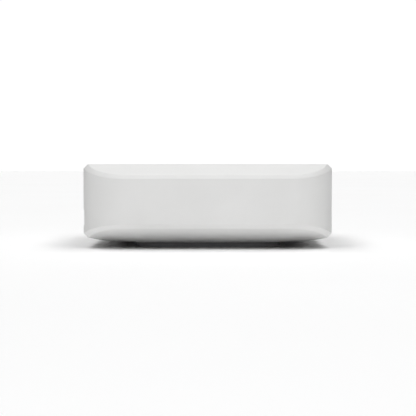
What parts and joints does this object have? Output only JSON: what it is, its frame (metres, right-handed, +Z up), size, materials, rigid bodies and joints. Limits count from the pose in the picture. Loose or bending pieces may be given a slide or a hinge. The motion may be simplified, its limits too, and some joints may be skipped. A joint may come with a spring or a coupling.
{
  "type": "streaming media player",
  "caption": "White rounded-square streaming media player with sloped top edges, a rubber foot, rear power, video, optical and network sockets and a side data socket.",
  "frame": {"origin": "centre of the rubber foot's underside, on the surface that the player stands on", "axes": "+Z up, +Y towards the back with the sockets, +X to the right seen from the front"},
  "size_m": [0.098, 0.098, 0.0328],
  "materials": {
    "white_plastic": "fine matte moulded ABS",
    "foot_rubber": "matte silicone rubber",
    "tape": "double-sided tissue tape",
    "steel": "zinc-plated steel",
    "film": "amber insulating film",
    "circuit_board": "green solder mask on glass-epoxy board",
    "chip": "moulded epoxy",
    "ferrite": "pressed ferrite",
    "capacitor_can": "drawn aluminium can",
    "plated_metal": "nickel-plated stamped metal",
    "thermal_pad": "filled silicone pad",
    "heatsink_aluminium": "extruded aluminium",
    "nylon": "natural nylon",
    "radio_board": "blue solder mask",
    "copper_film": "copper on film",
    "lead_sheath": "thin coaxial lead sheath",
    "light_lens": "clear polycarbonate",
    "socket_plastic": "glass-filled nylon",
    "gold_contact": "gold-flashed contacts",
    "emitter_plastic": "red-tinted epoxy",
    "tongue_white": "white thermoplastic",
    "stem_plastic": "moulded switch stem"
  },
  "bodies": {
    "casing": {"top_housing": "white_plastic", "bottom_cover": "white_plastic", "rubber_foot": "foot_rubber", "foot_tape": "tape", "case_screws": "steel", "base_weight": "steel", "insulating_film": "film", "main_board": "circuit_board", "board_screws": "steel", "processor": "chip", "memory_chips": "chip", "storage_chip": "chip", "power_chips": "chip", "board_coils": "ferrite", "board_capacitors": "capacitor_can", "clock_crystal": "plated_metal", "network_transformer": "chip", "shield_frame": "plated_metal", "shield_lid": "plated_metal", "chip_pad": "thermal_pad", "lid_pad": "thermal_pad", "heatsink": "heatsink_aluminium", "heatsink_pins": "nylon", "heatsink_springs": "steel", "radio_module": "radio_board", "radio_can": "plated_metal", "antenna_left": "copper_film", "antenna_right": "copper_film", "antenna_lead_left": "lead_sheath", "antenna_lead_right": "lead_sheath", "antenna_plugs": "gold_contact", "status_light": "light_lens", "light_guide": "light_lens", "power_socket": "socket_plastic", "power_pin": "plated_metal", "power_contact": "plated_metal", "video_shell": "plated_metal", "video_tongue": "socket_plastic", "video_contacts": "gold_contact", "optical_socket": "socket_plastic", "optical_emitter": "emitter_plastic", "network_shield": "plated_metal", "network_housing": "socket_plastic", "network_contacts": "gold_contact", "data_shell": "plated_metal", "data_tongue": "tongue_white", "data_contacts": "gold_contact", "reset_switch": "socket_plastic"},
    "reset_button": {"reset_button": "white_plastic", "switch_stem": "stem_plastic"},
    "optical_shutter": {"optical_shutter": "socket_plastic"}
  },
  "joints": [
    {"name": "reset_button_press", "type": "slide", "parent": "casing", "child": "reset_button", "axis": [0, -1, 0], "range_m": [0, 0.0004], "stiffness_N_per_m": 400},
    {"name": "optical_shutter_swing", "type": "hinge", "parent": "casing", "child": "optical_shutter", "pos_m": [0.0035, 0.0469, 0.0203], "axis": [-1, 0, 0], "range_deg": [0, 85], "stiffness_Nm_per_rad": 0.0008}
  ]
}
